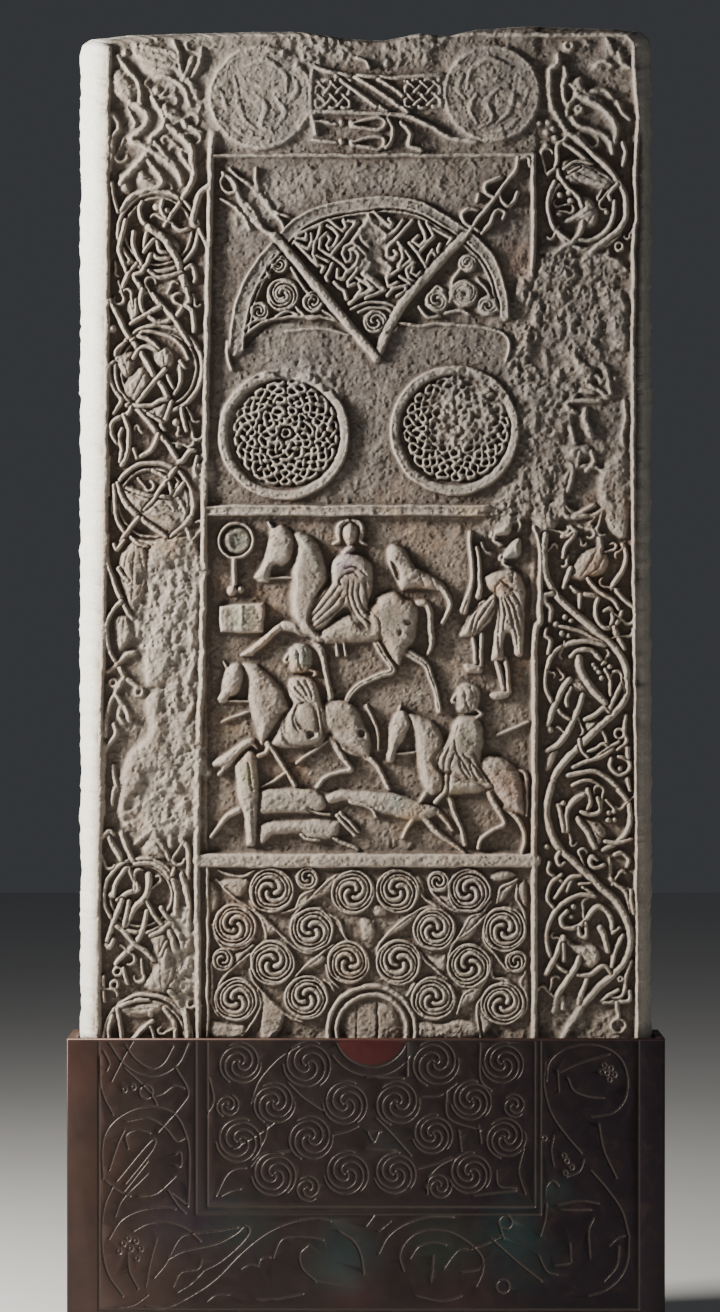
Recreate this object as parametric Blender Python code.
"""Carved stone slab standing in a metal-clad base. Metres, +Z up, carved face towards -Y.

Origin: centre of the underside of the base.
"""
import math

import bmesh
import bpy
import numpy as np
from mathutils import Matrix
from mathutils.geometry import delaunay_2d_cdt

# Driving dimensions, metres
STONE_WIDTH = 1.379
STONE_HEIGHT = 2.418
STONE_THICKNESS = 0.210
RELIEF_DEPTH = 0.018
SOCKET_DEPTH = 0.060
SOCKET_CLEARANCE = 0.0015
LEDGE = 0.018
BASE_HEIGHT = 0.730
ENGRAVED_DEPTH = 0.003
REST_GAP = 0.0003
EDGE_BEVEL = 0.004

# How finely the carving is worked out, and how many faces are kept
CARVING_STEP = 0.0075
BACK_STEP = 0.060
STONE_FACES = 8300
BASE_FACES = 1400

# The drawing of the face is in its own millimetres: X from the centre line, Z from the top of the base
DRAWN_WIDTH = 1379.0
DRAWN_HEIGHT = 2418.0
FIELD = -16.0
DRAWN_RELIEF = 16.0
PROUD = 1.5
DEEPEST = -25.0
ARRIS_WIDTH = 9.0
ENGRAVED_LINE = 9.0
PANEL_LEFT = -392.0
PANEL_RIGHT = 400.0
BAND_HEIGHTS = (2098.0, 1253.0, 422.0)

# Outline of the broken top edge, left to right
TOP_OUTLINE = (
    (-690, 2330), (-668, 2366), (-650, 2382), (-560, 2397), (-290, 2403), (-160, 2404), (-40, 2387),
    (40, 2385), (130, 2402), (200, 2397), (260, 2410), (400, 2418), (600, 2412), (655, 2407), (690, 2330),
)
# How far the face's own edge lies below the top and inside the two sides
TOP_SLOPE = 20.0
LEFT_ARRIS = ((0, -646), (700, -638), (1300, -626), (2420, -618))
RIGHT_ARRIS = ((0, 650), (1300, 643), (2200, 653), (2420, 643))
# Each ring of the sides: its share of the way out to the full outline, and of the thickness
SIDE_PROFILE = ((0.4, 0.07), (0.75, 0.2), (0.95, 0.38), (1.0, 0.55), (1.0, 0.86), (0.97, 0.96), (0.92, 1.0))

FOOT_DEPTH = SOCKET_DEPTH - REST_GAP
BASE_DEPTH = STONE_THICKNESS + 2 * (SOCKET_CLEARANCE + LEDGE)
BASE_WIDTH = STONE_WIDTH + 2 * (SOCKET_CLEARANCE + LEDGE)


def curve(points, step=9.0):
    """Smooth samples through the points, about one every step."""
    p = np.asarray(points, float)
    if len(p) < 3:
        return p
    q = np.concatenate([2 * p[:1] - p[1:2], p, 2 * p[-1:] - p[-2:-1]])
    out = []
    for a, b, c, d in zip(q[:-3], q[1:-2], q[2:-1], q[3:]):
        count = max(1, math.ceil(math.hypot(*(c - b)[:2]) / step))
        t = (np.arange(count) / count)[:, None]
        square = (2 * a - 5 * b + 4 * c - d) * t ** 2
        cube = (3 * b - a - 3 * c + d) * t ** 3
        out.append(0.5 * (2 * b + (c - a) * t + square + cube))
    out.append(p[-1:])
    return np.concatenate(out)


def arc(x, z, radius, start=0.0, end=360.0):
    """Points along a circle, angles in degrees anticlockwise from +X."""
    count = max(8, int(abs(math.radians(end - start)) * radius / 9))
    angle = np.radians(np.linspace(start, end, count + 1))
    return np.stack([x + radius * np.cos(angle), z + radius * np.sin(angle)], 1)


class Relief:
    """Heights over the drawing, outwards from the tops of the mouldings."""

    def __init__(self, x0, x1, z0, z1, step, level):
        self.step = step
        self.x = np.arange(x0, x1 + step, step)
        self.z = np.arange(z0, z1 + step, step)
        self.height = np.full((len(self.z), len(self.x)), float(level))

    def near(self, path, radii):
        """The stroke's window, the depth inside its edge and the share of its radius."""
        path = np.asarray(path, float)[:, :2]
        radii = np.broadcast_to(np.asarray(radii, float), len(path))
        low, high = path.min(0) - radii.max(), path.max(0) + radii.max()
        rows = slice(*np.searchsorted(self.z, (low[1], high[1])))
        columns = slice(*np.searchsorted(self.x, (low[0], high[0])))
        x, z = np.meshgrid(self.x[columns], self.z[rows])
        inside = np.full(x.shape, -1.0)
        share = np.full(x.shape, 2.0)
        for start, end, r0, r1 in zip(path[:-1], path[1:], radii[:-1], radii[1:]):
            along = end - start
            t = (x - start[0]) * along[0] + (z - start[1]) * along[1]
            t = np.clip(t / (along @ along + 1e-9), 0, 1)
            distance = np.hypot(x - start[0] - t * along[0], z - start[1] - t * along[1])
            radius = r0 + (r1 - r0) * t
            np.maximum(inside, radius - distance, out=inside)
            np.minimum(share, distance / radius, out=share)
        return (rows, columns), inside, share

    def raise_to(self, window, top, where):
        part = self.height[window]
        np.copyto(part, np.maximum(part, top), where=where)

    def roll(self, points, width, rise=15.0, soft=True):
        """A rounded strand; width may be a list read along the stroke."""
        path = curve(points) if soft else np.asarray(points, float)
        width = np.atleast_1d(np.asarray(width, float))
        radii = np.interp(np.linspace(0, 1, len(path)), np.linspace(0, 1, len(width)), width) / 2
        window, _, share = self.near(path, radii)
        self.raise_to(window, FIELD + rise * np.sqrt(np.clip(1 - share ** 2, 0, 1)), share < 1)

    def mass(self, nodes, rise=13.0, edge=12.0):
        """A rounded body along a chain of (x, z, radius)."""
        path = curve(nodes)
        window, inside, share = self.near(path, path[:, 2])
        s = np.clip(inside / edge, 0, 1)
        top = FIELD + rise * np.sqrt(1 - (1 - s) ** 2) + 2.0 * np.clip(1 - share ** 2, 0, 1)
        self.raise_to(window, top, inside > 0)

    def boss(self, x, z, radius, rise):
        """A low dome."""
        window, _, share = self.near([(x, z), (x + 0.1, z)], radius)
        self.raise_to(window, FIELD + rise * np.sqrt(np.clip(1 - share ** 3, 0, 1)), share < 1)

    def clear(self, x, z, radius):
        """A round sinking down to the field."""
        window, inside, _ = self.near([(x, z), (x + 0.1, z)], radius)
        self.height[window][inside > 0] = FIELD

    def cut(self, points, width, depth, soft=True):
        """A groove."""
        path = curve(points) if soft else np.asarray(points, float)
        window, _, share = self.near(path, width / 2)
        self.height[window] -= depth * np.sqrt(np.clip(1 - share ** 2, 0, 1))


def mouldings(face):
    """The frame of the panels and of the borders."""
    left = ((-369, 2385), (-368, 2090), (-385, 1240), (-390, 860), (-401, 600), (-398, 0))
    right = ((398, 2098), (398, 1860), (392, 1560), (394, 1260),
             (413, 1180), (414, 1000), (402, 955), (401, 0))
    outer = ((637, 2368), (640, 2280), (648, 2200), (642, 2060),
             (637, 1860), (636, 1300), (642, 600), (646, 0))
    for rail in (left, right, outer):
        face.roll(rail, 18)
    face.roll(((340, 2385), (630, 2383)), 14, 14, soft=False)
    for z, width in zip(BAND_HEIGHTS, (13, 26, 34)):
        face.roll(((PANEL_LEFT, z), (PANEL_RIGHT - 20, z)), width, 14, soft=False)


def spiral(face, x, z, radius, turn, arms=3):
    """A round boss of bands that wind in to drops."""
    face.clear(x, z, radius + 4)
    face.boss(x, z, radius, 6)
    face.roll(arc(x, z, radius - 7), 15, 13, soft=False)
    for arm in range(arms):
        t = np.linspace(0, 1, 12)
        reach = (radius - 12) * (1 - t) + 10 * t
        angle = math.radians(turn) + 2.4 * t + arm * 2 * math.pi / arms
        path = np.stack([x + reach * np.cos(angle), z + reach * np.sin(angle)], 1)
        face.roll(path, (10, 14, 16), 14, soft=False)


def plait(face, x, z, radius, cells, width):
    """Crossing strands that fill a circle."""
    for k in range(1, cells):
        offset = radius * (2 * k / cells - 1)
        half = math.sqrt(radius ** 2 - offset ** 2)
        for side in (1, -1):
            s = math.sqrt(0.5)
            ends = [(x + s * side * (offset - t), z + s * (offset + t)) for t in (-half, half)]
            face.roll(ends, width, 12, soft=False)


def roundels(face):
    """Two worn roundels with the knotted panels between them."""
    for x, z, radius in ((-250, 2240, 118), (303, 2245, 112)):
        face.roll(arc(x, z, radius), 24, 14, soft=False)
        face.boss(x, z, radius - 30, 9)
    face.roll(((-130, 2297), (185, 2280)), 12, 12)
    for x0, x1 in ((-118, -8), (78, 178)):
        for k in range(3):
            x = x0 + (x1 - x0) * k / 3
            face.roll(((x, 2212), (x + 36, 2280)), 11, 11)
            face.roll(((x + 36, 2212), (x, 2280)), 11, 11)
    face.roll(((-48, 2285), (88, 2214)), 13, 12)
    for z in (2167, 2129):
        face.mass(((-50, z, 7), (-14, z, 11), (54, z, 12)), 11, 6)


def crescent(face):
    """The crescent, its key work and horn spirals, and the broken rod laid over it."""
    x, z, radius = 2, 1643, 333
    face.roll(arc(x, z, radius - 12, 4, 176), 44, 13, soft=False)
    face.roll(((-318, 1668), (-250, 1690), (-130, 1688), (-20, 1662)), 12)
    face.roll(((60, 1680), (200, 1694), (338, 1668)), 12)
    horns = ((-205, 1846, 34), (-197, 1774, 46), (-122, 1742, 34), (-262, 1748, 26), (238, 1848, 34),
             (228, 1775, 42), (168, 1746, 34), (290, 1742, 28), (20, 1706, 36))
    for sx, sz, size in horns:
        spiral(face, sx, sz, size, sx, 2)
    for k in range(-3, 5):
        offset = 34 * k
        for side in (1, -1):
            foot = 1752 + abs(offset) * 1.1
            head = 1940 - abs(offset) * 0.35
            if foot < head:
                slant = side * (head - foot) / 2
                ends = ((8 + offset - slant / 2, foot), (8 + offset + slant / 2, head))
                face.roll(ends, 11, 12, soft=False)
    for arm in (((-212, 1908), (22, 1614)), ((232, 1906), (22, 1614))):
        window, inside, _ = face.near(arm, 19)
        face.height[window][inside > 0] = FIELD
        face.roll(arm, 27, 16, soft=False)
    for side in (-1, 1):
        stem = ((222, 0), (252, 26), (280, 60), (302, 102), (336, 140), (342, 182))
        leaf = ((252, 26), (226, 36), (220, 62), (256, 84), (252, 104))
        hook = ((282, 12), (286, 44), (304, 60), (316, 46))
        for points, width in ((stem, (22, 16, 14)), (leaf, 13), (hook, 12)):
            face.roll([(10 + side * a, 1908 + b) for a, b in points], width, 14)


def discs(face):
    """The pair of knotwork discs."""
    for x, z, radius in ((-204, 1428, 153), (210, 1440, 152)):
        face.clear(x, z, radius)
        face.roll(arc(x, z, radius - 13), 26, 15, soft=False)
        plait(face, x, z, radius - 36, 6, 14)


def horse(face, rump, chest, poll, muzzle, girth, legs, tail):
    """A walking horse, facing left."""
    for leg in legs:
        face.roll(leg, (0.7 * girth, 0.42 * girth, 0.3 * girth, 0.3 * girth), 13)
    barrel = ((rump[0] + chest[0]) / 2, (rump[1] + chest[1]) / 2 - 0.05 * girth)
    face.mass(((*rump, girth), (*barrel, 0.76 * girth), (*chest, 0.95 * girth)), 13, 14)
    throat = ((chest[0] + poll[0]) / 2 + 0.2 * girth, (chest[1] + poll[1]) / 2)
    face.mass(((*chest, 0.86 * girth), (*throat, 0.66 * girth), (*poll, 0.4 * girth)), 14, 10)
    face.mass(((*poll, 0.4 * girth), (*muzzle, 0.27 * girth)), 15, 8)
    face.cut(arc(*rump, 0.86 * girth, 60, 230), 9, 7, soft=False)
    face.roll((poll, (poll[0] - 4, poll[1] + 0.6 * girth)), (0.36 * girth, 0.14 * girth), 14)
    face.roll(tail, (0.3 * girth, 0.36 * girth, 0.2 * girth), 13)


def rider(face, head, waist, foot, size):
    """A seated figure with a plain rounded head."""
    neck = (head[0], head[1] - 1.1 * size)
    shoulder = (0.75 * head[0] + 0.25 * waist[0], head[1] - 2.1 * size)
    face.mass(((*shoulder, 0.95 * size), (*waist, 1.25 * size), (*foot, 0.5 * size)), 16, 10)
    face.roll((head, shoulder), 0.8 * size, 13, soft=False)
    face.cut(((neck[0] - size, neck[1]), (neck[0] + size, neck[1])), 9, 7, soft=False)
    face.mass(((*head, 0.85 * size), (head[0], head[1] - 4, 0.8 * size)), 17, 9)


def hunt(face):
    """Riders, trumpeters, hounds and deer, with the mirror and comb."""
    face.mass(((66, 1150, 17), (100, 1132, 28), (160, 1090, 28), (190, 1050, 22)), 10, 9)
    face.roll(((160, 1080), (194, 1036), (178, 986)), 16, 12)
    horse(face, (50, 985), (-122, 1000), (-214, 1186), (-252, 1098), 54,
          (((-140, 985), (-208, 976), (-288, 912)), ((-110, 965), (-104, 895), (-82, 814)),
           ((40, 960), (78, 872), (-46, 814)), ((86, 968), (140, 895), (168, 788))),
          ((96, 1040), (142, 1034), (146, 920)))
    rider(face, (-46, 1205), (-45, 1055), (-70, 985), 31)
    face.mass(((-62, 1080, 22), (-128, 990, 20)), 15, 9)
    face.roll(arc(-300, 1183, 45), 18, 15, soft=False)
    face.roll(((-312, 1140), (-313, 1070)), (14, 14, 26), 14, soft=False)
    face.mass(((-328, 996, 24), (-260, 996, 24)), 13, 6)
    face.roll(((246, 1206), (248, 1090), (228, 1006)), (15, 14, 24), 13)
    face.roll(((272, 1166), (276, 1050), (266, 1020)), (15, 14, 20), 13)
    for x, z in ((326, 1220), (350, 1156)):
        face.mass(((x, z, 22), (x - 20, z - 12, 10)), 15, 8)
    face.mass(((322, 1100, 26), (328, 1050, 37), (312, 1000, 34), (300, 975, 28)), 15, 9)
    face.mass(((330, 1010, 24), (370, 912, 8)), 13, 7)
    face.mass(((280, 1040, 14), (232, 962, 10)), 13, 7)
    for leg in (((260, 960), (264, 890), (240, 880)), ((304, 1000), (302, 905), (318, 862)),
                ((322, 960), (338, 818), (300, 812))):
        face.roll(leg, (16, 12), 12)
    horse(face, (-58, 752), (-222, 735), (-318, 868), (-340, 806), 48,
          (((-238, 706), (-210, 655), (-168, 602)), ((-80, 712), (-34, 640), (-116, 597)),
           ((-52, 712), (8, 664), (52, 590))), ((-20, 786), (20, 748), (28, 690)))
    rider(face, (-166, 900), (-160, 795), (-156, 715), 30)
    horse(face, (318, 620), (160, 608), (95, 762), (56, 668), 46,
          (((150, 590), (118, 520)), ((176, 580), (222, 498), (262, 452)),
           ((286, 590), (330, 508), (266, 456)), ((322, 585), (372, 490), (370, 446))),
          ((352, 640), (384, 600), (380, 530)))
    rider(face, (235, 826), (232, 735), (182, 580), 31)
    face.mass(((-358, 640, 12), (-312, 672, 20), (-298, 600, 24), (-300, 530, 20)), 13, 8)
    face.roll(((-296, 540), (-340, 514), (-367, 482)), (20, 12), 12)
    face.mass(((-250, 560, 22), (-160, 574, 26), (-86, 572, 14)), 13, 8)
    face.mass(((-250, 480, 20), (-200, 488, 26), (-110, 505, 12)), 12, 8)
    face.mass(((-92, 578, 12), (20, 574, 18), (118, 556, 12)), 13, 7)
    for leg in (((-46, 568), (30, 526)), ((-78, 548), (-20, 494)), ((110, 530), (88, 474)),
                ((104, 552), (160, 490), (236, 440))):
        face.roll(leg, (17, 11), 12)


def spiral_panel(face):
    """Rows of spiral bosses around the ring at the foot, tied by slanting tails."""
    rows = ((350, 56, (-225, -31, 75, 252)), (262, 52, (-312, -129, 162, 330)),
            (179, 52, (-225, -42, 78, 249)), (92, 53, (-309, -141, 162, 324)))
    for (_, _, upper), (z, _, lower) in zip(rows[:-1], rows[1:]):
        for x0, x1 in zip(upper, lower):
            face.roll(((x0, z + 84), (x1, z)), (14, 20, 14), 12)
    for z, radius, places in rows:
        for n, x in enumerate(places):
            spiral(face, x, z, radius, 70 * n + z)
    for x, z in ((-139, 378), (173, 369), (-340, 185), (358, 182)):
        face.boss(x, z, 27, 13)
    face.clear(12, 21, 114)
    face.roll(arc(12, 21, 102), 17, 14, soft=False)
    face.boss(12, 21, 82, 9)


def scroll(face, x, z, radius, hand):
    """One ring of the vine, with the beast curled inside it."""
    face.roll(arc(x, z, radius - 6), 14, 14, soft=False)
    body = ((0.55, 0.35, 0.14), (0.15, 0.55, 0.2), (-0.3, 0.2, 0.24), (-0.1, -0.3, 0.22), (0.4, -0.45, 0.12))
    face.mass([(x + hand * a * radius, z + b * radius, c * radius) for a, b, c in body], 11, 9)


def borders(face):
    """Vine scrolls up both sides, with the strands that cross between the rings."""
    left = [(-494, 1917), (-489, 1589), (-506, 1271), (-515, 950), (-522, 640), (-534, 337), (-520, 0)]
    right = [(529, 1967), (524, 1690), (520, 1412), (522, 1135), (526, 842), (527, 540), (527, 243)]
    for places, hand in ((left, -1), (right, 1)):
        for (x0, z0), (x1, z1) in zip(places[:-1], places[1:]):
            middle = ((x0 + x1) / 2, (z0 + z1) / 2)
            face.roll(((x0 + hand * 92, z0), middle, (x1 - hand * 92, z1)), 15)
            if hand < 0:
                face.roll(((x0 + hand * -92, z0), middle, (x1 + hand * 92, z1)), 15)
            else:
                face.mass(((middle[0] + 60, middle[1] + 20, 20), (middle[0] + 70, middle[1] - 10, 14)), 10, 8)
        for x, z in places:
            scroll(face, x, z, 95, hand)
    face.mass(((-560, 2310, 30), (-520, 2250, 34), (-480, 2180, 26), (-500, 2110, 22)), 11, 10)
    face.mass(((500, 2260, 26), (560, 2200, 34), (590, 2140, 24), (500, 2150, 20)), 10, 10)


def weathering(face):
    """Carving worn low in the top band and along the broken parts of both borders."""
    x, z = np.meshgrid(face.x, face.z)
    worn = 0.45 * np.exp(-(((x - 120) / 420) ** 2 + ((z - 2200) / 130) ** 2))
    worn += 0.4 * np.exp(-(((x - 470) / 90) ** 2 + ((z - 1520) / 260) ** 2))
    worn += 0.5 * np.exp(-(((x + 470) / 70) ** 2 + ((z - 850) / 230) ** 2))
    face.height += (FIELD - face.height) * np.clip(worn, 0, 0.6)


def carved_face():
    """The height field of the stone's face."""
    step = CARVING_STEP * 1000
    face = Relief(-720, 720, -30, DRAWN_HEIGHT + 10, step, FIELD)
    for motif in (mouldings, roundels, crescent, discs, hunt, spiral_panel, borders, weathering):
        motif(face)
    return face


def engraved_base():
    """Heights of the base's front: the lower end of the design, cut as lines."""
    face = Relief(-760, 760, -760, 10, CARVING_STEP * 1000, 0.0)
    width, depth = ENGRAVED_LINE, DRAWN_RELIEF * ENGRAVED_DEPTH / RELIEF_DEPTH
    for x in (-633, PANEL_LEFT - 10, PANEL_RIGHT, 640):
        foot = -417 if abs(x) < 500 else -640
        face.cut(((x, 0), (x, foot)), width, depth, soft=False)
    face.cut(((PANEL_LEFT, -400), (PANEL_RIGHT, -400)), width, depth, soft=False)
    face.cut(((-600, -640), (600, -640)), width, depth, soft=False)
    rows = ((-62, (-309, -137, 161, 323)), (-150, (-224, -51, 72, 245)), (-236, (-304, -135, 156, 330)),
            (-319, (-215, -46, 67, 245)))
    for z, places in rows:
        for x in places:
            face.cut(arc(x, z, 50), width, depth, soft=False)
            face.cut(arc(x, z, 24), width, depth, soft=False)
    for x, z in ((-514, -258), (-514, -530), (522, -98), (522, -511), (-170, -530), (175, -530)):
        face.cut(arc(x, z, 98), width, depth, soft=False)
    face.cut(arc(12, 21, 108, 190, 350), width, depth, soft=False)
    stems = (((-130, -428), (-200, -445), (-280, -500), (-440, -610), (-560, -630)),
             ((-600, -340), (-630, -480), (-615, -560), (-560, -620)),
             ((30, -500), (80, -450), (160, -425), (230, -428)), ((-590, -55), (-610, -140), (-570, -200)),
             ((430, -200), (470, -300), (600, -380)))
    for stem in stems:
        face.cut(stem, width, depth)
    return face


def heights_at(face, x, z):
    """Bilinear reading of the height field."""
    i = np.clip((z - face.z[0]) / face.step, 0, len(face.z) - 1.001)
    j = np.clip((x - face.x[0]) / face.step, 0, len(face.x) - 1.001)
    i0, j0 = i.astype(int), j.astype(int)
    fi, fj = i - i0, j - j0
    h = face.height
    low = h[i0, j0] * (1 - fj) + h[i0, j0 + 1] * fj
    high = h[i0 + 1, j0] * (1 - fj) + h[i0 + 1, j0 + 1] * fj
    return low * (1 - fi) + high * fi


def table(pairs, value):
    """Straight-line reading of a short table."""
    keys, values = zip(*pairs)
    return np.interp(value, keys, values)


def rim_of(columns, rows):
    """Indices of the grid's edge, anticlockwise seen from the front."""
    grid = np.arange(columns * rows).reshape(rows, columns)
    return np.concatenate([grid[0, :], grid[1:, -1], grid[-1, -2::-1], grid[-2:0:-1, 0]])


def closed_mesh(name, points, columns, rows, rings, back_step):
    """A grid in front, rings round its edge, and a back filled between the last ring's points."""
    grid = np.arange(columns * rows).reshape(rows, columns)
    quads = np.stack([grid[:-1, :-1], grid[:-1, 1:], grid[1:, 1:], grid[1:, :-1]], -1).reshape(-1, 4)
    faces = quads.tolist()
    previous = rim_of(columns, rows)
    vertices = points.tolist()
    for ring in rings:
        current = np.arange(len(ring)) + len(vertices)
        vertices.extend(ring.tolist())
        around = np.stack([previous, current, np.roll(current, -1), np.roll(previous, -1)], 1)
        faces.extend(around.tolist())
        previous = current
    last = np.asarray(rings[-1])
    low, high = last.min(0), last.max(0)
    inner = []
    for x in np.arange(low[0] + back_step, high[0] - back_step / 2, back_step):
        for z in np.arange(low[2] + back_step, high[2] - back_step, back_step):
            inner.append((x, z))
    flat = [(p[0], p[2]) for p in last] + inner
    edge = [(k, (k + 1) % len(last)) for k in range(len(last))]
    found, _, triangles, _, _, _ = delaunay_2d_cdt(flat, edge, [], 1, 1e-7)
    depth = last[0][1]
    extra = {}
    for k, place in enumerate(found):
        if k < len(last):
            extra[k] = int(previous[k])
        else:
            extra[k] = len(vertices)
            vertices.append((place[0], depth, place[1]))
    for triangle in triangles:
        faces.append([extra[k] for k in reversed(triangle)])
    mesh = bpy.data.meshes.new(name)
    mesh.from_pydata(vertices, [], faces)
    work = bmesh.new()
    work.from_mesh(mesh)
    bmesh.ops.recalc_face_normals(work, faces=work.faces)
    if work.calc_volume(signed=True) < 0:
        bmesh.ops.reverse_faces(work, faces=work.faces)
    bmesh.ops.triangulate(work, faces=work.faces)
    work.to_mesh(mesh)
    work.free()
    return mesh


def fewer_faces(mesh, wanted):
    """A copy that keeps faces where the shape needs them, held inside the first mesh's box."""
    helper = bpy.data.objects.new("helper", mesh)
    bpy.context.scene.collection.objects.link(helper)
    fewer = helper.modifiers.new("Fewer faces", "DECIMATE")
    fewer.ratio = min(1.0, wanted / len(mesh.polygons))
    fewer.use_collapse_triangulate = True
    graph = bpy.context.evaluated_depsgraph_get()
    kept = bpy.data.meshes.new_from_object(helper.evaluated_get(graph))
    kept.name = mesh.name
    before = np.empty(len(mesh.vertices) * 3)
    mesh.vertices.foreach_get("co", before)
    before = before.reshape(-1, 3)
    after = np.empty(len(kept.vertices) * 3)
    kept.vertices.foreach_get("co", after)
    after = np.clip(after.reshape(-1, 3), before.min(0), before.max(0))
    kept.vertices.foreach_set("co", after.ravel())
    kept.update()
    bpy.data.objects.remove(helper, do_unlink=True)
    return kept


def stone_mesh():
    scale_x, scale_z = STONE_WIDTH / DRAWN_WIDTH, STONE_HEIGHT / DRAWN_HEIGHT
    foot = -FOOT_DEPTH / scale_z
    columns = int(DRAWN_WIDTH * scale_x / CARVING_STEP) - 8
    rows = int((DRAWN_HEIGHT - foot) * scale_z / CARVING_STEP)
    u, v = np.meshgrid(np.linspace(0, 1, columns), np.linspace(0, 1, rows))
    guess = foot + v * (DRAWN_HEIGHT - foot)
    x = table(LEFT_ARRIS, guess) * (1 - u) + table(RIGHT_ARRIS, guess) * u
    outer_x = (u - 0.5) * DRAWN_WIDTH
    outer_z = foot + v * (table(TOP_OUTLINE, outer_x) - foot)
    z = outer_z - v * TOP_SLOPE
    height = heights_at(carved_face(), x, z)
    # the foot is plain, and the arris stands up to the level of the mouldings
    height = np.where(z < 0, 0, height)
    edge = np.minimum(np.minimum(u, 1 - u) * DRAWN_WIDTH, (1 - v) * DRAWN_HEIGHT)
    height = np.maximum(height, FIELD * np.clip(edge / ARRIS_WIDTH - 0.4, 0, 1) - 1)
    height = np.clip(height, DEEPEST, PROUD)
    front = -STONE_THICKNESS / 2 + (PROUD - height) * RELIEF_DEPTH / DRAWN_RELIEF
    points = np.stack([x * scale_x, front, z * scale_z], -1).reshape(-1, 3)
    outside = np.stack([outer_x * scale_x, front, outer_z * scale_z], -1).reshape(-1, 3)
    rim = rim_of(columns, rows)
    rings = []
    for share, depth in SIDE_PROFILE:
        ring = points[rim] * (1 - share) + outside[rim] * share
        ring[:, 1] = -STONE_THICKNESS / 2 + depth * STONE_THICKNESS
        rings.append(ring)
    mesh = closed_mesh("stone", points, columns, rows, rings, BACK_STEP)
    mesh.transform(Matrix.Translation((0, 0, BASE_HEIGHT)))
    return mesh


def base_mesh():
    scale_x, scale_z = STONE_WIDTH / DRAWN_WIDTH, STONE_HEIGHT / DRAWN_HEIGHT
    columns = int(BASE_WIDTH / CARVING_STEP)
    rows = int(BASE_HEIGHT / CARVING_STEP)
    x, z = np.meshgrid(np.linspace(-0.5, 0.5, columns) * (BASE_WIDTH - 2 * EDGE_BEVEL),
                       np.linspace(0, BASE_HEIGHT - EDGE_BEVEL, rows))
    height = heights_at(engraved_base(), x / scale_x, (z - BASE_HEIGHT) / scale_z)
    top = (z < 0.001) | (z > BASE_HEIGHT - EDGE_BEVEL - 0.001)
    height = np.where(top | (np.abs(x) > np.abs(x).max() - 0.001), 0, height)
    front = -BASE_DEPTH / 2 - height * RELIEF_DEPTH / DRAWN_RELIEF
    points = np.stack([x, front, z], -1).reshape(-1, 3)
    rim = rim_of(columns, rows)
    rings = []
    for grow, depth in ((1, EDGE_BEVEL), (1, BASE_DEPTH - EDGE_BEVEL), (0, BASE_DEPTH)):
        ring = points[rim].copy()
        ring[:, 0] += np.sign(ring[:, 0]) * (np.abs(ring[:, 0]) > np.abs(x).max() - 1e-6) * EDGE_BEVEL * grow
        ring[:, 2] += (ring[:, 2] > BASE_HEIGHT - EDGE_BEVEL - 1e-6) * EDGE_BEVEL * grow
        ring[:, 1] = -BASE_DEPTH / 2 + depth
        rings.append(ring)
    return closed_mesh("base", points, columns, rows, rings, BACK_STEP * 4)


def material(name, colour, roughness, metallic):
    made = bpy.data.materials.new(name)
    made.use_nodes = True
    shader = made.node_tree.nodes["Principled BSDF"]
    shader.inputs["Base Color"].default_value = (*colour, 1)
    shader.inputs["Roughness"].default_value = roughness
    shader.inputs["Metallic"].default_value = metallic
    return made


def add(name, mesh, finish, collection):
    obj = bpy.data.objects.new(name, mesh)
    collection.objects.link(obj)
    mesh.materials.append(finish)
    mesh.shade_smooth()
    mesh.set_sharp_from_angle(angle=math.radians(40))
    return obj


def socket_cutter(collection):
    """The pocket that the stone's foot stands in."""
    bpy.ops.mesh.primitive_cube_add(size=1)
    cutter = bpy.context.object
    cutter.name = "socket_cutter"
    wide, deep = STONE_WIDTH + 2 * SOCKET_CLEARANCE, STONE_THICKNESS + 2 * SOCKET_CLEARANCE
    cutter.scale = (wide, deep, 2 * SOCKET_DEPTH)
    cutter.location = (0, 0, BASE_HEIGHT)
    cutter.hide_render = True
    cutter.display_type = "WIRE"
    for owner in cutter.users_collection:
        owner.objects.unlink(cutter)
    collection.objects.link(cutter)
    return cutter


def main():
    for obj in list(bpy.data.objects):
        bpy.data.objects.remove(obj, do_unlink=True)
    parts = bpy.data.collections.new("carved_stone")
    cutters = bpy.data.collections.new("cutters")
    for collection in (parts, cutters):
        bpy.context.scene.collection.children.link(collection)
    sandstone = material("sandstone", (0.42, 0.36, 0.31), 0.9, 0.0)
    bronze = material("patinated_bronze", (0.06, 0.045, 0.04), 0.45, 0.7)
    add("stone", fewer_faces(stone_mesh(), STONE_FACES), sandstone, parts)
    base = add("base", fewer_faces(base_mesh(), BASE_FACES), bronze, parts)
    pocket = base.modifiers.new("Socket", "BOOLEAN")
    pocket.operation = "DIFFERENCE"
    pocket.solver = "EXACT"
    pocket.object = socket_cutter(cutters)


main()
